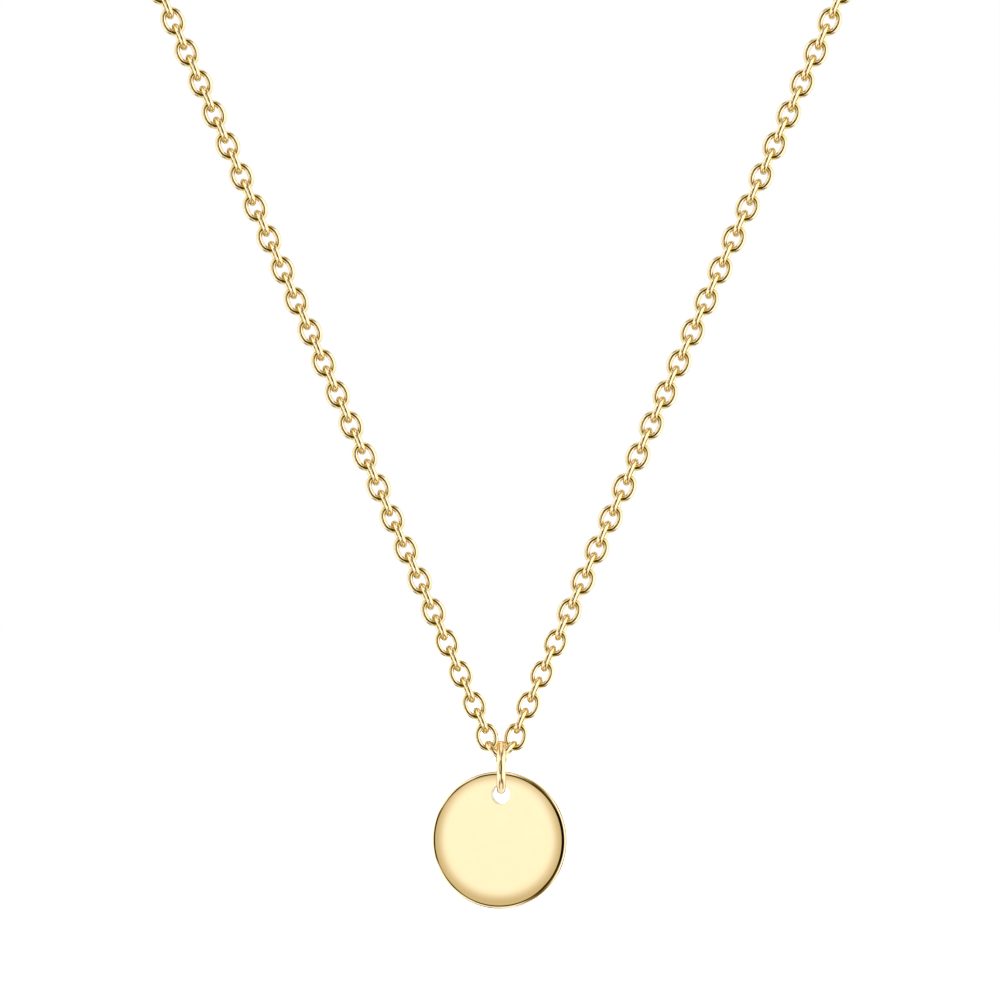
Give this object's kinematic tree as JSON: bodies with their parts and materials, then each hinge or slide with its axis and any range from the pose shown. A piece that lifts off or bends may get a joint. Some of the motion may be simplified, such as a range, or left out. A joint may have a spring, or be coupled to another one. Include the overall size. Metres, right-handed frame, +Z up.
{
  "type": "circle pendant necklace",
  "caption": "Polished gold-tone necklace: a plain round disc hangs from a jump ring on an oval cable chain, closed by a ring clasp at the nape.",
  "frame": {"origin": "middle of the loop's centre line at the nape, where the necklace sits on the back of the neck", "axes": "+Z up, -Y towards the front where the disc hangs, +X to the right of a viewer in front"},
  "size_m": [0.0958, 0.0759, 0.126],
  "materials": {
    "disc_metal": "polished gold plate",
    "ring_metal": "polished gold plate",
    "chain_metal": "polished gold plate",
    "clasp_metal": "polished gold plate"
  },
  "bodies": {
    "chain": {"chain_left": "chain_metal", "chain_right": "chain_metal", "clasp": "clasp_metal", "end_ring": "clasp_metal"},
    "bail": {"jump_ring": "ring_metal"},
    "pendant": {"disc": "disc_metal"}
  },
  "joints": [
    {"name": "ring_turn", "type": "hinge", "parent": "chain", "child": "bail", "pos_m": [0, -0.07159, -0.1095], "axis": [1, 0, 0], "range_deg": [-35, 35]},
    {"name": "disc_sway", "type": "hinge", "parent": "bail", "child": "pendant", "pos_m": [0, -0.07159, -0.11174], "axis": [0, 1, 0], "range_deg": [-35, 35]}
  ]
}
